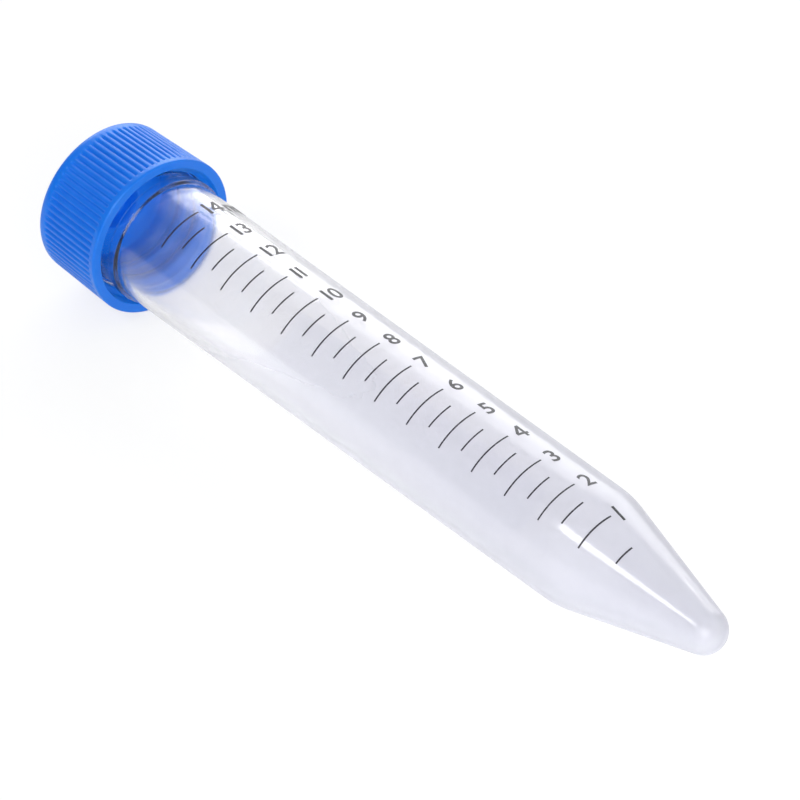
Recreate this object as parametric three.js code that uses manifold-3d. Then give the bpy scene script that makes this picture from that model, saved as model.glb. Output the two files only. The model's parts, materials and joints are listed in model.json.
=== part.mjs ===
// A 15 ml conical centrifuge tube with its screw cap, lying on a table as it comes to rest.
// Two moulded pieces: the clear polypropylene tube and the blue cap with its sealing plug.
// Millimetres, +Z up. The tube lies along X, tip towards +X, on its cap rim and its shoulder.
import * as THREE from 'three';
import { mergeVertices } from 'three/addons/utils/BufferGeometryUtils.js';
import Module from 'manifold-3d';

// ---- driving dimensions ----
// tube, heights measured from the tip
const tubeLength = 118.5;
const wall = 1.1;
const bodyTopRadius = 8.5;
const bodyTaper = 0.3;
const shoulderHeight = 23.8;
const shoulderRound = 14;
const tipRadius = 3.1;
const tipThickness = 1.5;
const tipBoreRadius = 2.1;
const neckWall = 0.95;
const mouthRound = 0.3;
const beadWidth = 1.2;
const beadRise = 0.35;
const beadRound = 0.35;

// cap, heights measured from its open rim
const capHeight = 12.0;
const capTaper = 0.4;
const capTopThickness = 1.4;
const capEdgeRound = 0.9;
const rimRound = 0.25;
const skirtWall = 1.35;
const plugWall = 0.95;
const plugDepth = 3.0;
const plugRound = 0.5;
const floorThickness = 1.2;
const ceilingRound = 0.5;
const grooveWidth = 2.15;
const islandDrop = 0.45;
const islandWall = 1.1;
const islandRound = 0.35;
const hollowRound = 0.4;
const grooveEdgeRound = 0.3;
const grooveFloorRound = 0.4;
const ribCount = 75;
const ribDepth = 0.28;
const ribGrooveWidth = 0.52;
const plainBand = 0.8;
const topBand = 1.5;
const gateRadius = 0.7;
const gateDepth = 0.3;

// clearances between the two pieces
const threadSpace = 1.3;
const plugClearance = 0.3;
const ceilingClearance = 0.3;
const beadClearance = 0.3;

// roundness; both pieces have as many sides, so the flats that they lie on agree
const capSides = ribCount;
const tubeSides = capSides;
const arcSteps = 3;
const wideArcSteps = 6;

// ---- what follows from them ----
const ceilingHeight = capHeight - capTopThickness;
const rimHeight = tubeLength + ceilingClearance - ceilingHeight;
const bodyShoulderRadius = bodyTopRadius - bodyTaper;
const boreTopRadius = bodyTopRadius - wall;
const boreShoulderRadius = bodyShoulderRadius - wall;
const neckRadius = boreTopRadius + neckWall;
const plugRadius = boreTopRadius - plugClearance;
const grooveRadius = plugRadius - plugWall;
const islandRadius = grooveRadius - grooveWidth;
const skirtBoreRadius = neckRadius + threadSpace;
const capRimRadius = skirtBoreRadius + skirtWall;
const capTopRadius = capRimRadius - capTaper;

// ---- profile helpers: points are (radius, height) ----
function arc(centreR, centreH, radius, from, to, steps) {
  const points = [];
  for (let i = 0; i <= steps; i += 1) {
    const angle = from + ((to - from) * i) / steps;
    points.push(new THREE.Vector2(centreR + radius * Math.cos(angle), centreH + radius * Math.sin(angle)));
  }
  return points;
}

// A round bottom that starts on the axis and runs smoothly into a straight line to a target point.
function dome(radius, bottomHeight, targetR, targetH, steps) {
  const centreH = bottomHeight + radius;
  const reach = Math.hypot(targetR, targetH - centreH);
  const tangent = Math.atan2(targetH - centreH, targetR) - Math.acos(radius / reach);
  const points = arc(0, centreH, radius, -Math.PI / 2, tangent, steps);
  points[0].x = 0;
  return points;
}

// Replaces each corner [radius, height, rounding] by an arc that touches both of its edges.
function rounded(corners, steps) {
  const points = [];
  corners.forEach(([r, h, rounding, ownSteps], i) => {
    const corner = new THREE.Vector2(r, h);
    if (!rounding) {
      points.push(corner);
      return;
    }
    const before = new THREE.Vector2(corners[i - 1][0], corners[i - 1][1]).sub(corner).normalize();
    const after = new THREE.Vector2(corners[i + 1][0], corners[i + 1][1]).sub(corner).normalize();
    const half = Math.acos(THREE.MathUtils.clamp(before.dot(after), -1, 1)) / 2;
    const middle = before.clone().add(after).normalize();
    const centre = corner.clone().addScaledVector(middle, rounding / Math.sin(half));
    const start = corner.clone().addScaledVector(before, rounding / Math.tan(half)).sub(centre);
    const end = corner.clone().addScaledVector(after, rounding / Math.tan(half)).sub(centre);
    const turn = Math.atan2(start.cross(end), start.dot(end));
    points.push(...arc(centre.x, centre.y, rounding, start.angle(), start.angle() + turn, ownSteps || steps));
  });
  return points;
}

// ---- booleans ----
const wasm = await Module();
wasm.setup();

function solid(geometry) {
  const bare = geometry.clone();
  bare.deleteAttribute('normal');
  bare.deleteAttribute('uv');
  const merged = mergeVertices(bare, 1e-5);
  const mesh = new wasm.Mesh({
    numProp: 3,
    vertProperties: new Float32Array(merged.attributes.position.array),
    triVerts: new Uint32Array(merged.index.array),
  });
  return new wasm.Manifold(mesh);
}

function geometryOf(manifold) {
  const mesh = manifold.getMesh();
  const geometry = new THREE.BufferGeometry();
  geometry.setAttribute('position', new THREE.BufferAttribute(new Float32Array(mesh.vertProperties), 3));
  geometry.setIndex(new THREE.BufferAttribute(new Uint32Array(mesh.triVerts), 1));
  geometry.computeVertexNormals();
  return geometry;
}

// ---- tube: one shell with round tip, cone, slightly tapered body, bead and plain neck ----
function tubeOutline() {
  const beadTop = rimHeight - beadClearance;
  const beadBottom = beadTop - beadWidth;
  const beadRadius = bodyTopRadius + beadRise;
  const tip = dome(tipRadius, 0, bodyShoulderRadius, shoulderHeight, wideArcSteps);
  const tipBore = dome(tipBoreRadius, tipThickness, boreShoulderRadius, shoulderHeight, wideArcSteps).reverse();
  const walls = rounded([
    [tip.at(-1).x, tip.at(-1).y],
    [bodyShoulderRadius, shoulderHeight, shoulderRound, wideArcSteps],
    [bodyTopRadius, beadBottom - beadRise],
    [beadRadius, beadBottom, beadRound],
    [beadRadius, beadTop, beadRound],
    [neckRadius, beadTop + beadRise],
    [neckRadius, tubeLength, mouthRound],
    [boreTopRadius, tubeLength, mouthRound],
    [boreShoulderRadius, shoulderHeight, shoulderRound - wall, wideArcSteps],
    [tipBore[0].x, tipBore[0].y],
  ], arcSteps);
  return [...tip.slice(0, -1), ...walls, ...tipBore.slice(1)];
}

// ---- cap: skirt, flat top with a round groove, raised island, and the plug that seals in the mouth ----
function capOutline() {
  const plugBottom = capHeight - plugDepth - floorThickness;
  const grooveFloor = capHeight - plugDepth;
  const islandTop = capHeight - islandDrop;
  const hollowRadius = islandRadius - islandWall;
  return rounded([
    [0, islandTop - floorThickness],
    [hollowRadius, islandTop - floorThickness, hollowRound],
    [hollowRadius, plugBottom, hollowRound],
    [plugRadius, plugBottom, plugRound],
    [plugRadius, ceilingHeight],
    [skirtBoreRadius, ceilingHeight, ceilingRound],
    [skirtBoreRadius, 0],
    [capRimRadius, 0, rimRound],
    [capTopRadius, capHeight, capEdgeRound],
    [grooveRadius, capHeight, grooveEdgeRound],
    [grooveRadius, grooveFloor, grooveFloorRound],
    [islandRadius, grooveFloor, grooveFloorRound],
    [islandRadius, islandTop, islandRound],
    [gateRadius, islandTop],
    [gateRadius / 2, islandTop - gateDepth],
    [0, islandTop - gateDepth],
  ], arcSteps);
}

// The grooves between the ribs: a ring whose inner edge is a star, one point for each groove.
function ribGrooves() {
  const clear = capRimRadius + 2 * ribDepth;
  const outside = capRimRadius + 6 * ribDepth;
  const rootRadius = capRimRadius - ribDepth;
  const spread = (ribGrooveWidth / 2 / ribDepth) * (clear - rootRadius);
  const halfAngle = Math.atan2(spread, clear);
  const ring = new THREE.Shape();
  ring.absarc(0, 0, outside, 0, 2 * Math.PI);
  const star = new THREE.Path();
  for (let i = 0; i < ribCount; i += 1) {
    const at = Math.PI / 2 + (2 * Math.PI * i) / ribCount;
    const corners = [[clear, at - halfAngle], [rootRadius, at], [clear, at + halfAngle]];
    corners.forEach(([r, angle], j) => {
      const put = i === 0 && j === 0 ? 'moveTo' : 'lineTo';
      star[put](r * Math.cos(angle), r * Math.sin(angle));
    });
  }
  star.closePath();
  ring.holes.push(star);
  const length = capHeight - plainBand - topBand;
  const settings = { depth: length, bevelEnabled: false, curveSegments: 24 };
  const geometry = new THREE.ExtrudeGeometry(ring, settings);
  const position = geometry.attributes.position;
  for (let i = 0; i < position.count; i += 1) {
    const height = position.getZ(i) + plainBand;
    const crest = capRimRadius + ((capTopRadius - capRimRadius) * height) / capHeight;
    const scale = crest / capRimRadius;
    // the extrusion's own axis becomes the cap's axis, +Y
    const x = position.getX(i) * scale;
    const z = position.getY(i) * scale;
    position.setXYZ(i, z, height, x);
  }
  return geometry;
}

// ---- the two pieces in their own frame: axis along +Y, the tube's tip at the origin ----
const tubeMaterial = new THREE.MeshStandardMaterial({
  color: 0xe9ebf2,
  roughness: 0.25,
  metalness: 0,
  transparent: true,
  opacity: 0.35,
});
const capMaterial = new THREE.MeshStandardMaterial({ color: 0x0a5bd0, roughness: 0.4, metalness: 0 });

const tube = new THREE.Mesh(new THREE.LatheGeometry(tubeOutline(), tubeSides), tubeMaterial);
tube.name = 'tube';

const capBody = solid(new THREE.LatheGeometry(capOutline(), capSides));
const cap = new THREE.Mesh(geometryOf(capBody.subtract(solid(ribGrooves()))), capMaterial);
cap.name = 'cap';
cap.position.y = rimHeight;

// ---- lie down: the cap's rim and the tube's shoulder touch the table ----
// The table is the flattest line from the rim that touches the tube's outline.
const rimTouch = capRimRadius * Math.cos(Math.PI / capSides);
const restTilt = Math.min(...tubeOutline()
  .filter((p) => p.y < rimHeight / 2)
  .map((p) => Math.atan2(rimTouch - p.x * Math.cos(Math.PI / tubeSides), rimHeight + rimRound - p.y)));

const upright = new THREE.Group();
upright.rotation.z = Math.PI / 2;
upright.add(tube, cap);

const lying = new THREE.Group();
lying.rotation.y = restTilt;
lying.add(upright);

const conicalTube = new THREE.Group();
conicalTube.add(lying);
conicalTube.updateMatrixWorld(true);
const box = new THREE.Box3().setFromObject(conicalTube, true);
lying.position.set(-(box.min.x + box.max.x) / 2, -(box.min.y + box.max.y) / 2, -box.min.z);

export default conicalTube;
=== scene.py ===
import json
import math

import bmesh
import bpy
import numpy as np
from mathutils import Matrix, Vector


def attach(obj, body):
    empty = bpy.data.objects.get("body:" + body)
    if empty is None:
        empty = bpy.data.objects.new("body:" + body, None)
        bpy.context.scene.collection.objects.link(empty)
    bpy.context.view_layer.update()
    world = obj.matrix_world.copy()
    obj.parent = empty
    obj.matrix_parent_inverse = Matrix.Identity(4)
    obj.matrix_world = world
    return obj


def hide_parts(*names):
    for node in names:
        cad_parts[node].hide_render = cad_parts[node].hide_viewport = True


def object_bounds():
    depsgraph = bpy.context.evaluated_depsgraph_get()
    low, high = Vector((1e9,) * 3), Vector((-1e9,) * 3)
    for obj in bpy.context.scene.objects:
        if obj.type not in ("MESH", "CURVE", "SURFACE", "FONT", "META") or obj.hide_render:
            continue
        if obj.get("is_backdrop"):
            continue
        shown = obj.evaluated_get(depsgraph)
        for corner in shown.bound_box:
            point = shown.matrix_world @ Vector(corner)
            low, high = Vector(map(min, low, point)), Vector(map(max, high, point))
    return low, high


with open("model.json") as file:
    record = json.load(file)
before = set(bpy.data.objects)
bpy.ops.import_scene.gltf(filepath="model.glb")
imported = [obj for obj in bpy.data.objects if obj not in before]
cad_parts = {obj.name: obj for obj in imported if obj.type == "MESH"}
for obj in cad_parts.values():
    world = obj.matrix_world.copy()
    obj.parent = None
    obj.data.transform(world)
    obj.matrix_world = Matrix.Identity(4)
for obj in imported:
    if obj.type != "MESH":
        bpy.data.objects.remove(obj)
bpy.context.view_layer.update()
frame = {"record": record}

# ---------------------------------------------------------------- tube
# The tube is one injection moulding of natural polypropylene: round tip, cone, a body that tapers a
# little, a bead under the cap, and a threaded neck. The wall is clear at the neck and milky towards
# the tip, and wherever it is seen on edge.
MM = 0.001  # sizes are written in millimetres, and heights are measured from the tip
# The tube lies on its cap and on the foot of its body, so its axis rises a little towards the cap.
# Every piece is shaped upright, tip down at the origin, and is then laid down by one matrix. The
# record's mount on the flat top of the cap says where that top face is and how it leans.
TIP_TO_CAP_TOP = 120.2
MOUNT_OFF_AXIS = 8.3
cap_top = next(m for m in frame["record"]["mounts"] if m["name"] == "cap_top")
towards_cap = Vector(cap_top["axis"]).normalized()
sideways = Vector((0, 1, 0))
upper_side = sideways.cross(towards_cap)
tip = Vector(cap_top["pos_m"]) - MM * (MOUNT_OFF_AXIS * upper_side + TIP_TO_CAP_TOP * towards_cap)
lie_down = Matrix((upper_side, sideways, towards_cap)).transposed().to_4x4()
lie_down.translation = tip
lie_down = lie_down @ Matrix.Scale(MM, 4)

SKIN = 0.012  # the smooth pieces stay this far inside the flats of the faceted solids
TIP_LIFT = 0.003  # and the round tip this far above the lowest facet
TUBE_LENGTH = 118.5
RIM_HEIGHT = 108.2  # where the cap's rim stands
WALL = 1.1
BODY_TOP, BODY_SHOULDER = 8.5 - SKIN, 8.2 - SKIN
BORE_TOP, BORE_SHOULDER = 7.4, 7.1
SHOULDER_HEIGHT, SHOULDER_ROUND = 23.8, 14.0
TIP_ROUND, TIP_THICKNESS, TIP_BORE = 3.1, 1.5, 2.1
NECK, MOUTH_ROUND = 8.35, 0.3
BEAD_RISE, BEAD_TOP, BEAD_BOTTOM = 0.35, RIM_HEIGHT - 0.3, RIM_HEIGHT - 1.5
BEAD_FOOT_ROUND = 0.2
THREAD_PITCH, THREAD_TURNS, THREAD_RISE = 3.2, 1.75, 0.8
THREAD_BASE, THREAD_CREST, THREAD_RUN_OUT = 1.5, 0.6, 0.07
TUBE_THREAD_START = RIM_HEIGHT + 2.1
TUBE_SIDES, TUBE_ARC_STEP = 240, 4  # an arc step is in degrees
THREAD_ROWS = np.linspace(BEAD_TOP + 0.9, TUBE_LENGTH - 0.6, 90)
GUARD_SHARE, GUARD_LIMIT, GUARD_ROOM = 0.3, 0.6, 3  # how far a guard point stands off its arc
ON_SURFACE = 0.05  # how near a radius counts as being on a surface


def dome(radius, bottom, target, steps=14):
    """A round bottom from the axis to where a straight line to the target point leaves it."""
    centre = Vector((0, bottom + radius))
    away = Vector(target) - centre
    leave = math.atan2(away.y, away.x) - math.acos(radius / away.length)
    turns = [-math.pi / 2 + (leave + math.pi / 2) * i / steps for i in range(steps + 1)]
    arc = [centre + radius * Vector((math.cos(a), math.sin(a))) for a in turns]
    arc[0].x = 0
    return arc


def rounded(corners, step):
    """An outline from corners (radius, height, rounding): each rounding becomes an arc with a guard
    point on each side, so that smooth shading stays flat on the straight runs."""
    outline = []
    for i, (r, h, rounding) in enumerate(corners):
        corner = Vector((r, h))
        if not rounding:
            outline.append(corner)
            continue
        before = Vector(corners[i - 1][:2]) - corner
        after = Vector(corners[i + 1][:2]) - corner
        half = before.angle(after) / 2
        reach, turn = rounding / math.tan(half), math.pi - 2 * half
        run_in, run_out = before.normalized(), after.normalized()
        centre = corner + (run_in + run_out).normalized() * rounding / math.sin(half)
        start, end = corner + run_in * reach - centre, corner + run_out * reach - centre
        steps = max(3, round(math.degrees(turn) / step))
        guard = min(GUARD_SHARE * rounding, GUARD_LIMIT)
        if before.length > reach + GUARD_ROOM * guard:
            outline.append(centre + start + run_in * guard)
        for k in range(steps + 1):
            share = k / steps
            swing = start * math.sin((1 - share) * turn) + end * math.sin(share * turn)
            outline.append(centre + swing / math.sin(turn))
        if after.length > reach + GUARD_ROOM * guard:
            outline.append(centre + end + run_out * guard)
    return outline


def fine_run(outline, radius, heights, near=0.3, shortest=3):
    """Adds points at these heights to the long straight run of the outline near this radius."""
    made = []
    for a, b in zip(outline, outline[1:]):
        made.append(a)
        bottom, top = sorted((a.y, b.y))
        if max(abs(a.x - radius), abs(b.x - radius)) < near and top - bottom > shortest:
            between = sorted((h for h in heights if bottom < h < top), reverse=a.y > b.y)
            made += [a.lerp(b, (h - a.y) / (b.y - a.y)) for h in between]
    return [*made, outline[-1]]


def revolve(name, outline, sides, swell=None):
    """A closed mesh made by turning an outline that starts and ends on the axis. swell gives how
    far the surface is moved out at each angle, radius and height."""
    rings = np.array([p[:] for p in outline[1:-1]])
    angle = np.linspace(0, 2 * np.pi, sides, endpoint=False)[None, :]
    radius, height = np.repeat(rings[:, :1], sides, 1), np.repeat(rings[:, 1:], sides, 1)
    if swell:
        radius = radius + swell(angle, radius, height)
    turned = np.stack([radius * np.cos(angle), radius * np.sin(angle), height], -1).reshape(-1, 3)
    points = [*map(tuple, turned), (0, 0, outline[0].y), (0, 0, outline[-1].y)]
    j = np.arange(sides)
    following = (j + 1) % sides
    faces = []
    for i in range(len(rings) - 1):
        low, high = i * sides, (i + 1) * sides
        faces += np.stack([low + j, low + following, high + following, high + j], 1).tolist()
    last = (len(rings) - 1) * sides
    first_pole, last_pole = len(points) - 2, len(points) - 1
    faces += [(first_pole, int(b), int(a)) for a, b in zip(j, following)]
    faces += [(last_pole, int(last + a), int(last + b)) for a, b in zip(j, following)]
    mesh = bpy.data.meshes.new(name)
    mesh.from_pydata(points, [], faces)
    mesh.transform(lie_down)
    mesh.polygons.foreach_set("use_smooth", [True] * len(mesh.polygons))
    piece = bpy.data.objects.new(name, mesh)
    bpy.context.scene.collection.objects.link(piece)
    return piece


def screw_thread(angle, height, start):
    """How far a right-hand thread stands out at each angle and height. It fades at both ends."""
    stand = np.zeros(np.broadcast(angle, height).shape)
    for turn in range(math.ceil(THREAD_TURNS)):
        along = angle / (2 * np.pi) + turn
        off = np.abs(height - start - THREAD_PITCH * along)
        flank = np.clip((THREAD_BASE / 2 - off) / ((THREAD_BASE - THREAD_CREST) / 2), 0, 1)
        fade = np.clip(np.minimum(along, THREAD_TURNS - along) / THREAD_RUN_OUT, 0, 1)
        stand = np.maximum(stand, flank * fade * fade * (3 - 2 * fade))
    return THREAD_RISE * stand


def tube_swell(angle, radius, height):
    """The thread on the outside of the neck."""
    between = (height > BEAD_TOP + BEAD_RISE) & (height < TUBE_LENGTH - MOUTH_ROUND)
    neck = between & (radius > NECK - ON_SURFACE)
    return np.where(neck, screw_thread(angle, height, TUBE_THREAD_START), 0)


outer_tip = dome(TIP_ROUND, TIP_LIFT, (BODY_SHOULDER, SHOULDER_HEIGHT))
inner_tip = dome(TIP_BORE, TIP_THICKNESS, (BORE_SHOULDER, SHOULDER_HEIGHT))[::-1]
walls = rounded([  # radius, height and rounding of each corner
    (*outer_tip[-1], 0),
    (BODY_SHOULDER, SHOULDER_HEIGHT, SHOULDER_ROUND),
    (BODY_TOP, BEAD_BOTTOM - BEAD_RISE, BEAD_FOOT_ROUND),
    (BODY_TOP + BEAD_RISE, BEAD_BOTTOM, BEAD_RISE),
    (BODY_TOP + BEAD_RISE, BEAD_TOP, BEAD_RISE),
    (NECK, BEAD_TOP + BEAD_RISE, BEAD_FOOT_ROUND),
    (NECK, TUBE_LENGTH, MOUTH_ROUND),
    (BORE_TOP, TUBE_LENGTH, MOUTH_ROUND),
    (BORE_SHOULDER, SHOULDER_HEIGHT, SHOULDER_ROUND - WALL),
    (*inner_tip[0], 0),
], TUBE_ARC_STEP)
tube_outline = fine_run([*outer_tip[:-1], *walls, *inner_tip[1:]], NECK, THREAD_ROWS)
tube_body = revolve("tube_body", tube_outline, TUBE_SIDES, tube_swell)


class Socket:
    """An output of a material's nodes. Arithmetic adds Math nodes, and node() adds any other."""

    def __init__(self, tree, output=None):
        self.tree, self.output = tree, output

    def node(self, kind, settings=None, values=None, take=0):
        """Adds a node, with its settings first, then the values or links of its sockets."""
        made = self.tree.nodes.new(kind)
        for key, value in (settings or {}).items():
            setattr(made, key, value)
        for key, value in (values or {}).items():
            if isinstance(value, Socket):
                self.tree.links.new(value.output, made.inputs[key])
            else:
                made.inputs[key].default_value = value
        return Socket(self.tree, made.outputs[take] if len(made.outputs) else None)

    def other(self, output):
        """Another output of the node that this one comes from."""
        return Socket(self.tree, self.output.node.outputs[output])

    def maths(self, operation, *values):
        """A Math node on these values."""
        return self.node("ShaderNodeMath", {"operation": operation}, dict(enumerate(values)))

    def __add__(self, other):
        return self.maths("ADD", self, other)

    def __sub__(self, other):
        return self.maths("SUBTRACT", self, other)

    def __rsub__(self, other):
        return self.maths("SUBTRACT", other, self)

    def __mul__(self, other):
        return self.maths("MULTIPLY", self, other)

    def __truediv__(self, other):
        return self.maths("DIVIDE", self, other)

    def __rtruediv__(self, other):
        return self.maths("DIVIDE", other, self)

    def __pow__(self, other):
        return self.maths("POWER", self, other)

    def __rpow__(self, other):
        return self.maths("POWER", other, self)

    __radd__, __rmul__ = __add__, __mul__


def new_finish(name):
    """An empty material, and the socket class bound to its nodes."""
    finish = bpy.data.materials.new(name)
    finish.use_nodes = True
    finish.node_tree.nodes.clear()
    return finish, Socket(finish.node_tree)


def noise(nodes, where, scale, detail=3.0):
    """Soft noise from 0 to 1; scale is in features to a metre."""
    values = {"Vector": where, "Scale": scale, "Detail": detail, "Roughness": 0.55}
    return nodes.node("ShaderNodeTexNoise", {"noise_dimensions": "3D"}, values, "Fac")


# The second milk colour is greyer: a painted shade that the wall takes on towards the tip.
CLEAR, MILK, SHADED_MILK = (0.985, 0.98, 0.99, 1), (0.72, 0.723, 0.765, 1), (0.655, 0.658, 0.715, 1)
CLOUD_SCALE, RIPPLE_SCALE = 220.0, 900.0
CLOUD_DEPTH = 0.16
# How much of the light a wall seen square on scatters, where it is milky all through.
MILK_DEPTH = 0.32
THICKEST_EDGE = 1.06  # keeps a wall seen exactly on edge from growing endlessly thick
# Places along the tube, in metres from the middle of the object, positive towards the tip.
CLEAR_TO, MILKY_FROM, LEAST_MILK = -0.049, -0.012, 0.015
GREY_FROM, GREY_TO = -0.030, 0.040
MILK_GROWTH = 12.0
PASSES_THROUGH = 0.5

tube_plastic, nodes = new_finish("tube_plastic")
where = nodes.node("ShaderNodeTexCoord", take="Object")
cloud = noise(nodes, where, CLOUD_SCALE)
ripple = noise(nodes, where, RIPPLE_SCALE, detail=2.0)
facing = nodes.node("ShaderNodeLayerWeight", None, {"Blend": 0.5}, "Facing")
edge_on = 1 / (THICKEST_EDGE - facing)
along = nodes.node("ShaderNodeSeparateXYZ", None, {0: where}, "X")
from_neck = nodes.node("ShaderNodeMapRange", {"interpolation_type": "SMOOTHSTEP"}, {
    "Value": along, "From Min": CLEAR_TO, "From Max": MILKY_FROM,
    "To Min": LEAST_MILK, "To Max": 1.0,
})
towards_tip = from_neck * math.e ** (along * MILK_GROWTH)
patchy = 1 - CLOUD_DEPTH / 2 + CLOUD_DEPTH * cloud
milk = 1 - math.e ** (edge_on * patchy * towards_tip * -MILK_DEPTH)
bump = nodes.node("ShaderNodeBump", None, {"Strength": 0.03, "Distance": 0.0002, "Height": ripple})
# Painted shade: the milk's colour turns greyer from GREY_FROM to GREY_TO, towards the tip.
painted_shade_to_tip = nodes.node("ShaderNodeMapRange", {"interpolation_type": "SMOOTHSTEP"}, {
    "Value": along, "From Min": GREY_FROM, "From Max": GREY_TO,
})
milk_with_painted_shade = nodes.node("ShaderNodeMix", {"data_type": "RGBA"}, {
    0: painted_shade_to_tip, 6: MILK, 7: SHADED_MILK,
}, 2)
clear = nodes.node("ShaderNodeBsdfPrincipled", None, {
    "Base Color": CLEAR, "Roughness": 0.10, "IOR": 1.49, "Transmission Weight": 1.0,
})
scatter = nodes.node("ShaderNodeBsdfTranslucent", None, {"Color": MILK, "Normal": bump})
glow = nodes.node("ShaderNodeBsdfPrincipled", None, {
    "Base Color": milk_with_painted_shade, "Roughness": 0.16, "IOR": 1.49, "Normal": bump,
})
milky = nodes.node("ShaderNodeMixShader", None, {0: PASSES_THROUGH, 1: glow, 2: scatter})
wall_look = nodes.node("ShaderNodeMixShader", None, {0: milk, 1: clear, 2: milky})
lamp_ray = nodes.node("ShaderNodeLightPath", take="Is Shadow Ray")
let_by = nodes.node("ShaderNodeBsdfTransparent", None, {"Color": (0.93, 0.935, 0.945, 1)})
shown = nodes.node("ShaderNodeMixShader", None, {0: lamp_ray, 1: wall_look, 2: let_by})
nodes.node("ShaderNodeOutputMaterial", None, {"Surface": shown})
tube_body.data.materials.append(tube_plastic)
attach(tube_body, "tube")
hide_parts("tube")


# ---------------------------------------------------------------- printed scale
# Black ink, screen printed on the outside of the body: a line at each half millilitre, longer ones
# with their number at each whole one. The lines stand where the bore below them holds that volume.
INK_LIFT, INK_THICK = 0.006, 0.022
NOMINAL = 8.4  # the radius that the artwork is drawn for
LINE_WIDTH = 0.22
LINES_MIDDLE, LONG_LINE, SHORT_LINE = -23.0, 46.0, 27.0  # degrees round the body
NUMBER_GAP, NUMBER_HEIGHT, NUMBER_BOLD = 7.5, 2.5, 0.05  # the gap is in degrees
CAPITAL_SHARE, SIGN_SPACE, SIGN_CURVE_STEPS = 0.72, 0.42, 6
TOP_VOLUME = 14  # millilitres
CUBIC_MM_PER_ML, BORE_SLICES = 1000, 4000
WRAP_STEP, SAME_PLACE = 0.5, 1e-4

mouth = max(range(len(tube_outline)), key=lambda i: tube_outline[i].y)
outside, inside = tube_outline[:mouth], tube_outline[:mouth:-1]
body_side = [p for p in outside if p.y < BEAD_BOTTOM - BEAD_RISE]
outside_heights, outside_radii = [p.y for p in body_side], [p.x for p in body_side]
bore_heights = np.linspace(TIP_THICKNESS, TUBE_LENGTH, BORE_SLICES)
bore_radii = np.interp(bore_heights, [p.y for p in inside], [p.x for p in inside])
slices = np.pi * bore_radii[1:] ** 2 * np.diff(bore_heights) / CUBIC_MM_PER_ML
held = np.concatenate([[0], np.cumsum(slices)])


def level(volume):
    """The height at which the bore holds a volume in millilitres."""
    return float(np.interp(volume, held, bore_heights))


def wrap(bm, name):
    """Wraps flat ink, drawn in millimetres as (around, height, thickness), round the tube."""
    bmesh.ops.remove_doubles(bm, verts=bm.verts, dist=SAME_PLACE)
    longest = max(abs(v.co.x) for v in bm.verts)
    for cut in np.arange(-longest, longest, WRAP_STEP):
        geometry = [*bm.verts, *bm.edges, *bm.faces]
        bmesh.ops.bisect_plane(bm, geom=geometry, dist=SAME_PLACE, plane_co=(cut, 0, 0),
                               plane_no=(1, 0, 0))
    for v in bm.verts:
        arc, height, lift = v.co
        radius = np.interp(height, outside_heights, outside_radii) + INK_LIFT + lift
        v.co = (radius * math.cos(arc / NOMINAL), radius * math.sin(arc / NOMINAL), height)
    mesh = bpy.data.meshes.new(name)
    bm.to_mesh(mesh)
    bm.free()
    mesh.transform(lie_down)
    piece = bpy.data.objects.new(name, mesh)
    bpy.context.scene.collection.objects.link(piece)
    return piece


def flat_ink(bm, corners):
    """A flat closed patch of ink with this outline, whose corners run anticlockwise."""
    low, raised = ([bm.verts.new((x, y, z)) for x, y in corners] for z in (0, INK_THICK))
    bm.faces.new(low[::-1])
    bm.faces.new(raised)
    for side in zip(low, low[1:] + low[:1], raised[1:] + raised[:1], raised):
        bm.faces.new(side)


def around(degrees):
    """The distance along the body's outside that this angle takes."""
    return math.radians(degrees) * NOMINAL


lines = bmesh.new()
for half in range(1, 2 * TOP_VOLUME + 1):
    length = SHORT_LINE if half % 2 else LONG_LINE
    height = level(half / 2)
    left, right = around(LINES_MIDDLE - length / 2), around(LINES_MIDDLE + length / 2)
    bottom, high = height - LINE_WIDTH / 2, height + LINE_WIDTH / 2
    flat_ink(lines, [(left, bottom), (right, bottom), (right, high), (left, high)])
scale_lines = wrap(lines, "scale_lines")

FOUR = (  # the outline of a 4 and its open middle, in millimetres
    ((0, 0.55), (1.05, 0.55), (1.05, 0), (1.45, 0), (1.45, 0.55), (1.8, 0.55), (1.8, 0.93),
     (1.45, 0.93), (1.45, 2.5), (1.0, 2.5), (0, 1.0)),
    ((0.45, 0.93), (1.05, 0.93), (1.05, 1.87)),
)


def printed_sign(sign):
    """Flat ink in the shape of one sign. The four is drawn as its outline and its open middle."""
    if sign == "4":
        drawn = bpy.data.curves.new("sign", "CURVE")
        drawn.dimensions, drawn.fill_mode = "2D", "BOTH"
        for corners in FOUR:
            line = drawn.splines.new("POLY")
            line.points.add(len(corners) - 1)
            for point, (x, y) in zip(line.points, corners):
                point.co = (x, y, 0, 1)
            line.use_cyclic_u = True
    else:
        drawn = bpy.data.curves.new("sign", "FONT")
        drawn.body, drawn.size, drawn.offset = sign, NUMBER_HEIGHT / CAPITAL_SHARE, NUMBER_BOLD
        drawn.resolution_u = SIGN_CURVE_STEPS
    drawn.extrude = INK_THICK / 2
    holder = bpy.data.objects.new("sign", drawn)
    shape = bpy.data.meshes.new_from_object(holder)
    bpy.data.objects.remove(holder)
    bpy.data.curves.remove(drawn)
    return shape


numbers = bmesh.new()
for volume in range(1, TOP_VOLUME + 1):
    left = around(LINES_MIDDLE + LONG_LINE / 2 + NUMBER_GAP)
    bottom = level(volume) - NUMBER_HEIGHT / 2
    for sign in f"{volume}ml" if volume == TOP_VOLUME else f"{volume}":
        shape = printed_sign(sign)
        sides = [v.co.x for v in shape.vertices]
        shape.transform(Matrix.Translation((left - min(sides), bottom, INK_THICK / 2)))
        left += max(sides) - min(sides) + SIGN_SPACE
        numbers.from_mesh(shape)
        bpy.data.meshes.remove(shape)
scale_numbers = wrap(numbers, "scale_numbers")

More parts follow.
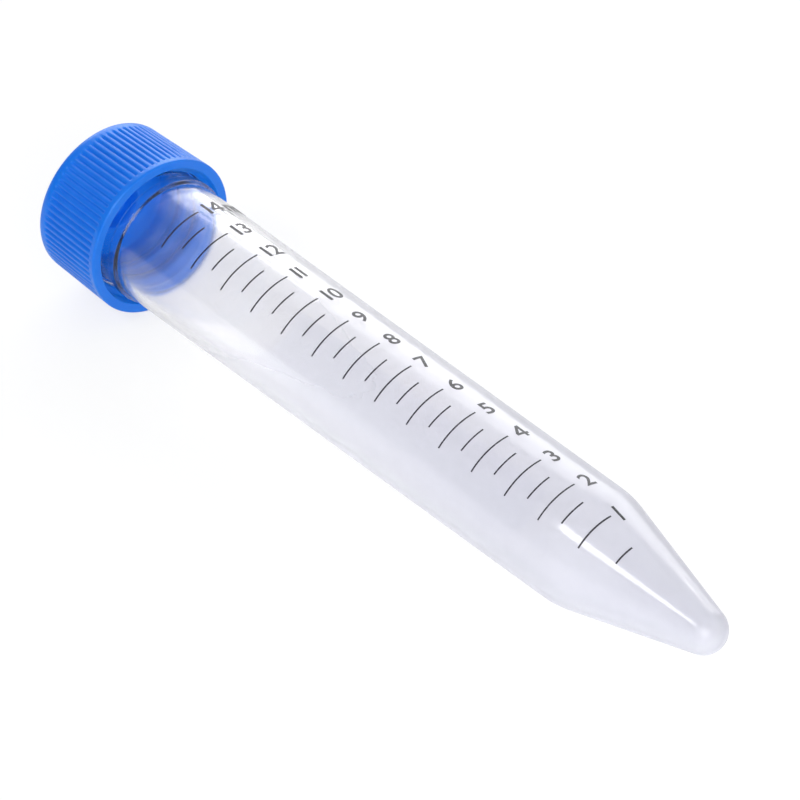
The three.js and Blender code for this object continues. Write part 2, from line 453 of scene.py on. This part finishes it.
BLACK, THIN_BLACK = (0.012, 0.012, 0.016, 1), (0.10, 0.10, 0.12, 1)
SPECKLE_SCALE = 2600.0
black_ink, nodes = new_finish("black_ink")
where = nodes.node("ShaderNodeTexCoord", take="Object")
speckle = noise(nodes, where, SPECKLE_SCALE, detail=4.0)
thin = nodes.node("ShaderNodeMapRange", None, {"Value": speckle, "From Min": 0.5, "From Max": 0.8})
shade = nodes.node("ShaderNodeMix", {"data_type": "RGBA"}, {0: thin, 6: BLACK, 7: THIN_BLACK}, 2)
ink = nodes.node("ShaderNodeBsdfPrincipled", None, {
    "Base Color": shade, "Roughness": 0.35 + 0.25 * speckle, "IOR": 1.45,
})
nodes.node("ShaderNodeOutputMaterial", None, {"Surface": ink})
for piece in (scale_lines, scale_numbers):
    piece.data.materials.append(black_ink)
    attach(piece, "tube")


# ---------------------------------------------------------------- writing patch
# A plain white block printed on the far side of the body from the scale, to be written on with a
# marker. It is the same thin ink as the scale, but white and matt, and lets some light through.
PATCH_FROM, PATCH_TO = 119.0, 194.0  # degrees round the body
PATCH_LOW, PATCH_HIGH = 4, 12  # the scale's levels that it reaches from and to
PATCH_CORNER, CORNER_STEPS = 1.5, 6
patch = bmesh.new()
left, right = around(PATCH_FROM) + PATCH_CORNER, around(PATCH_TO) - PATCH_CORNER
bottom, high = level(PATCH_LOW) + PATCH_CORNER, level(PATCH_HIGH) - PATCH_CORNER
rim = []
for x, y, start in ((right, high, 0), (left, high, 90), (left, bottom, 180), (right, bottom, 270)):
    for a in np.radians(np.linspace(start, start + 90, CORNER_STEPS + 1)):
        rim.append((x + PATCH_CORNER * math.cos(a), y + PATCH_CORNER * math.sin(a)))
flat_ink(patch, rim)
writing_patch = wrap(patch, "writing_patch")

WHITE, BRIGHT_WHITE = (0.86, 0.865, 0.88, 1), (0.93, 0.93, 0.94, 1)
INK_GRAIN, INK_LETS_THROUGH = 3500.0, 0.5
white_ink, nodes = new_finish("white_ink")
where = nodes.node("ShaderNodeTexCoord", take="Object")
grain = noise(nodes, where, INK_GRAIN, detail=4.0)
shade = nodes.node("ShaderNodeMix", {"data_type": "RGBA"}, {0: grain, 6: WHITE, 7: BRIGHT_WHITE}, 2)
bump = nodes.node("ShaderNodeBump", None, {"Strength": 0.2, "Distance": 0.00004, "Height": grain})
ink = nodes.node("ShaderNodeBsdfPrincipled", None, {
    "Base Color": shade, "Roughness": 0.55 + 0.2 * grain, "IOR": 1.45, "Normal": bump,
})
through = nodes.node("ShaderNodeBsdfTranslucent", None, {"Color": (0.9, 0.905, 0.92, 1)})
thin_ink = nodes.node("ShaderNodeMixShader", None, {0: INK_LETS_THROUGH, 1: ink, 2: through})
nodes.node("ShaderNodeOutputMaterial", None, {"Surface": thin_ink})
writing_patch.data.materials.append(white_ink)
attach(writing_patch, "tube")


# ---------------------------------------------------------------- cap
# The screw cap is one injection moulding of blue polyethylene, screwed on the neck. Fine ribs run
# up its side. The groove in its flat top is the inside of the plug that seals in the tube's mouth,
# and the island in the middle has the mark of the moulding gate.
CAP_HEIGHT = 12.0  # the cap's heights are measured from its rim
CAP_RIM, CAP_TOP = 11.0 - SKIN, 10.6 - SKIN
TOP_THICKNESS, EDGE_ROUND = 1.4, 0.9
SKIRT_BORE = 9.65
PLUG, GROOVE, ISLAND, HOLLOW = 7.1, 6.15, 4.0, 2.9
PLUG_DEPTH, PLUG_FLOOR, ISLAND_DROP = 3.0, 1.2, 0.45
GATE, GATE_FLOOR, GATE_DEPTH = 0.7, 0.49, 0.3
NUB, NUB_RISE = 0.28, 0.22
RIBS, RIB_DEPTH, FURROW_HALF = 75, 0.28, 0.3  # the ribs are what the furrows leave between them
PLAIN_BAND, TOP_BAND, RIB_END = 0.8, 1.5, 0.35
RIB_END_ROWS, RIB_ROWS = np.array([0, 0.12, 0.24, RIB_END]), (3, 5, 7, 9)
SIDE_FROM = CAP_TOP - 0.35  # the outer side lies outside this radius
THREAD_PLAY = 1.15
CAP_THREAD_START = TUBE_THREAD_START - RIM_HEIGHT - THREAD_PLAY
SKIRT_THREAD_FROM, SKIRT_THREAD_TO = 0.5, 9
SKIRT_ROWS = RIM_HEIGHT + np.linspace(0.95, 8.2, 40)
POINTS_PER_RIB, CAP_ARC_STEP = 7, 18  # an arc step is in degrees

ceiling = CAP_HEIGHT - TOP_THICKNESS
plug_bottom = CAP_HEIGHT - PLUG_DEPTH - PLUG_FLOOR
groove_floor = CAP_HEIGHT - PLUG_DEPTH
island_top = CAP_HEIGHT - ISLAND_DROP
cap_outline = rounded([  # radius, height and rounding of each corner
    (0, island_top - PLUG_FLOOR, 0),
    (HOLLOW, island_top - PLUG_FLOOR, 0.4),
    (HOLLOW, plug_bottom, 0.3),
    (PLUG, plug_bottom, 0.5),
    (PLUG, ceiling, 0.2),
    (SKIRT_BORE, ceiling, 0.5),
    (SKIRT_BORE, 0, 0.2),
    (CAP_RIM, 0, 0.25),
    (CAP_TOP, CAP_HEIGHT, EDGE_ROUND),
    (GROOVE, CAP_HEIGHT, 0.3),
    (GROOVE, groove_floor, 0.4),
    (ISLAND, groove_floor, 0.4),
    (ISLAND, island_top, 0.35),
    (GATE, island_top, 0.08),
    (GATE_FLOOR, island_top - GATE_DEPTH, 0.08),
    (NUB, island_top - GATE_DEPTH, 0.05),
    (NUB, island_top - GATE_DEPTH + NUB_RISE, 0.08),
    (0, island_top - GATE_DEPTH + NUB_RISE, 0),
], CAP_ARC_STEP)
rib_foot, rib_head = PLAIN_BAND, CAP_HEIGHT - TOP_BAND
side_rows = np.array([*(rib_foot + RIB_END_ROWS), *RIB_ROWS, *(rib_head - RIB_END_ROWS)])
cap_outline = [p + Vector((0, RIM_HEIGHT)) for p in cap_outline]
cap_outline = fine_run(cap_outline, SKIRT_BORE, SKIRT_ROWS)
cap_outline = fine_run(cap_outline, (CAP_RIM + CAP_TOP) / 2, RIM_HEIGHT + side_rows)


def smooth(value):
    """A soft step from 0 to 1."""
    value = np.clip(value, 0, 1)
    return value * value * (3 - 2 * value)


def cap_swell(angle, radius, height):
    """The furrows between the ribs of the outer side, and the thread inside the skirt."""
    up = height - RIM_HEIGHT
    pitch = 2 * np.pi / RIBS
    off = np.abs((angle + pitch / 2) % pitch - pitch / 2) * CAP_RIM
    cut = np.where(off < FURROW_HALF, 0.5 + 0.5 * np.cos(np.pi * off / FURROW_HALF), 0)
    ends = smooth((up - rib_foot) / RIB_END) * smooth((rib_head - up) / RIB_END)
    furrows = np.where(radius > SIDE_FROM, RIB_DEPTH * cut * ends, 0)
    between = (up > SKIRT_THREAD_FROM) & (up < SKIRT_THREAD_TO)
    skirt = between & (np.abs(radius - SKIRT_BORE) < ON_SURFACE)
    return -furrows - np.where(skirt, screw_thread(angle, up, CAP_THREAD_START), 0)


screw_cap = revolve("screw_cap", cap_outline, RIBS * POINTS_PER_RIB, cap_swell)

BLUE, DEEP_BLUE = (0.0, 0.205, 0.91, 1), (0.0, 0.165, 0.80, 1)
# The lighter blue on the rib crests is partly wear and partly a painted highlight, which leaves
# painted shade in the furrows.
WORN_AND_HIGHLIT_BLUE, WEAR_AND_HIGHLIGHT = (0.03, 0.28, 0.93, 1), 0.35
SWIRL_SCALE, GRAIN_SCALE = 260.0, 5200.0
CAP_LETS_THROUGH = 0.33
cap_plastic, nodes = new_finish("cap_plastic")
where = nodes.node("ShaderNodeTexCoord", take="Object")
from_tip = nodes.node("ShaderNodeVectorMath", {"operation": "SUBTRACT"}, {0: where, 1: tip})
across = nodes.node("ShaderNodeVectorMath", {"operation": "CROSS_PRODUCT"}, {
    0: from_tip, 1: towards_cap,
})
out = nodes.node("ShaderNodeVectorMath", {"operation": "LENGTH"}, {0: across}, "Value")
swirl = noise(nodes, where, SWIRL_SCALE, detail=4.0)
grain = noise(nodes, where, GRAIN_SCALE, detail=2.0)
# Towards the rib crests the blue is painted lighter: partly wear, partly painted highlight on the
# crests and painted shade in the furrows.
crest_wear_and_highlight = nodes.node("ShaderNodeMapRange", None, {
    "Value": out, "From Min": (CAP_TOP - RIB_DEPTH) * MM, "From Max": CAP_RIM * MM,
})
rubbed = nodes.node("ShaderNodeMapRange", None, {"Value": swirl, "From Min": 0.45, "From Max": 0.7})
body_blue = nodes.node("ShaderNodeMix", {"data_type": "RGBA"}, {0: swirl, 6: DEEP_BLUE, 7: BLUE}, 2)
shade = nodes.node("ShaderNodeMix", {"data_type": "RGBA"}, {
    0: crest_wear_and_highlight * rubbed * WEAR_AND_HIGHLIGHT, 6: body_blue, 7: WORN_AND_HIGHLIT_BLUE,
}, 2)
bump = nodes.node("ShaderNodeBump", None, {"Strength": 0.12, "Distance": 0.00003, "Height": grain})
gloss = nodes.node("ShaderNodeBsdfPrincipled", None, {
    "Base Color": shade, "Roughness": 0.29 + 0.06 * swirl, "IOR": 1.5, "Specular IOR Level": 0.9,
    "Specular Tint": (0.6, 0.85, 1.0, 1), "Sheen Weight": 0.15, "Sheen Roughness": 0.4,
    "Sheen Tint": (0.4, 0.85, 1.0, 1), "Normal": bump,
})
through = nodes.node("ShaderNodeBsdfTranslucent", None, {"Color": (0.0, 0.6, 1.0, 1)})
cap_look = nodes.node("ShaderNodeMixShader", None, {0: CAP_LETS_THROUGH, 1: gloss, 2: through})
nodes.node("ShaderNodeOutputMaterial", None, {"Surface": cap_look})
screw_cap.data.materials.append(cap_plastic)
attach(screw_cap, "cap")
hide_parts("cap")


# ---------------------------------------------------------------- floor, light and camera
# A plain pale round floor under three soft lamps, with a white room behind it. The tube lies on it,
# and it keeps the tube's shadow. Sizes here are in metres.
scene = bpy.context.scene
scene.view_settings.view_transform = "Standard"

FLOOR_RADIUS, FLOOR_SIDES, FLOOR_DROP = 3.0, 96, 0.00002
floor_mesh = bpy.data.meshes.new("floor")
floor_rim = [(FLOOR_RADIUS * math.cos(a), FLOOR_RADIUS * math.sin(a), -FLOOR_DROP)
             for a in np.linspace(0, 2 * math.pi, FLOOR_SIDES, endpoint=False)]
floor_mesh.from_pydata(floor_rim, [], [list(range(FLOOR_SIDES))])
floor = bpy.data.objects.new("floor", floor_mesh)
scene.collection.objects.link(floor)


def looked_at(nodes):
    """Two masks: what is looked at straight, mirrored or through the tube, and what is mirrored.
    Both are 0 for light on its way to a surface."""
    straight = nodes.node("ShaderNodeLightPath", take="Is Camera Ray")
    mirrored, through = straight.other("Is Glossy Ray"), straight.other("Is Transmission Ray")
    return nodes.maths("MAXIMUM", straight, nodes.maths("MAXIMUM", mirrored, through)), mirrored


FLOOR_COLOUR = (0.80, 0.80, 0.80, 1)
# Looked at, the floor near the tube is mostly its own white, and matt enough to show the shadow.
SHADOW_COLOUR, OWN_WHITE = (0.26, 0.26, 0.26, 1), 0.75
NEAR, FAR = 0.15, 0.5
floor_paint, nodes = new_finish("floor_paint")
seen, _ = looked_at(nodes)
where = nodes.node("ShaderNodeTexCoord", take="Object")
far_off = nodes.node("ShaderNodeMapRange", {"interpolation_type": "SMOOTHSTEP"}, {
    "Value": nodes.node("ShaderNodeVectorMath", {"operation": "LENGTH"}, {0: where}, "Value"),
    "From Min": NEAR, "From Max": FAR,
})
matt = nodes.node("ShaderNodeBsdfDiffuse", None, {"Color": FLOOR_COLOUR})
shadowed = nodes.node("ShaderNodeBsdfDiffuse", None, {"Color": SHADOW_COLOUR})
white = nodes.node("ShaderNodeEmission", None, {"Color": (1, 1, 1, 1), "Strength": OWN_WHITE})
close_by = nodes.node("ShaderNodeAddShader", None, {0: shadowed, 1: white})
backdrop = nodes.node("ShaderNodeEmission", None, {"Color": (1, 1, 1, 1), "Strength": 1.0})
seen_floor = nodes.node("ShaderNodeMixShader", None, {0: far_off, 1: close_by, 2: backdrop})
both = nodes.node("ShaderNodeMixShader", None, {0: seen, 1: matt, 2: seen_floor})
nodes.node("ShaderNodeOutputMaterial", None, {"Surface": both})
floor_mesh.materials.append(floor_paint)
floor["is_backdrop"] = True

SKY_COLOUR, SKY_LIGHT = (0.97, 0.98, 1, 1), 0.5
# The room that shines in the plastic is white behind the tube and dim in front of it.
ROOM_FRONT, FRONT_FROM, BEHIND_FROM = 0.1, -0.25, 0.35
world = bpy.data.worlds.new("studio")
scene.world = world
world.use_nodes = True
world.node_tree.nodes.clear()
nodes = Socket(world.node_tree)
seen, mirrored = looked_at(nodes)
direction = nodes.node("ShaderNodeTexCoord", take="Generated")
behind = nodes.node("ShaderNodeSeparateXYZ", None, {0: direction}, "Y")
room = nodes.node("ShaderNodeMapRange", {"interpolation_type": "SMOOTHSTEP"}, {
    "Value": behind, "From Min": FRONT_FROM, "From Max": BEHIND_FROM,
    "To Min": ROOM_FRONT, "To Max": 1.0,
})
soft = nodes.node("ShaderNodeBackground", None, {"Color": SKY_COLOUR, "Strength": SKY_LIGHT})
backdrop = nodes.node("ShaderNodeBackground", None, {
    "Color": (1, 1, 1, 1), "Strength": 1 - mirrored * (1 - room),
})
both = nodes.node("ShaderNodeMixShader", None, {0: seen, 1: soft, 2: backdrop})
nodes.node("ShaderNodeOutputWorld", None, {"Surface": both})

low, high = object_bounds()
middle = (low + high) / 2


def softbox(name, direction, distance, width, height, light):
    """A rectangular lamp that faces the middle of the object. A white sheet held up to it there
    would look as bright as light says, where 1 is white."""
    lamp = bpy.data.lights.new(name, "AREA")
    lamp.shape = "RECTANGLE"
    lamp.size, lamp.size_y, lamp.energy = width, height, light * (math.pi * distance) ** 2
    stand = bpy.data.objects.new(name, lamp)
    stand.location = middle + Vector(direction).normalized() * distance
    stand.rotation_mode = "QUATERNION"
    stand.rotation_quaternion = (middle - stand.location).to_track_quat("-Z", "Y")
    scene.collection.objects.link(stand)


softbox("key", (-0.151, -0.62, 0.77), distance=0.8, width=0.28, height=0.16, light=0.22)
softbox("back", (-0.6, 0.7, 0.38), distance=1.0, width=1.3, height=0.7, light=0.8)
softbox("fill", (0.85, -0.45, 0.4), distance=1.0, width=0.6, height=0.6, light=0.5)

AZIMUTH, ELEVATION, ROLL = math.radians(51.98), math.radians(36.27), math.radians(-2.80)
DISTANCE, LENS = 1.1274, 408.0  # metres, and millimetres for the lens
back = Vector((
    math.sin(AZIMUTH) * math.cos(ELEVATION),
    -math.cos(AZIMUTH) * math.cos(ELEVATION),
    math.sin(ELEVATION),
))
camera = bpy.data.objects.new("camera", bpy.data.cameras.new("camera"))
camera.data.lens = LENS
camera.data.clip_start, camera.data.clip_end = 0.01, 20
camera.location = middle + back * DISTANCE
camera.rotation_mode = "QUATERNION"
roll = Matrix.Rotation(ROLL, 3, "Z").to_quaternion()
camera.rotation_quaternion = (-back).to_track_quat("-Z", "Y") @ roll
scene.collection.objects.link(camera)
scene.camera = camera
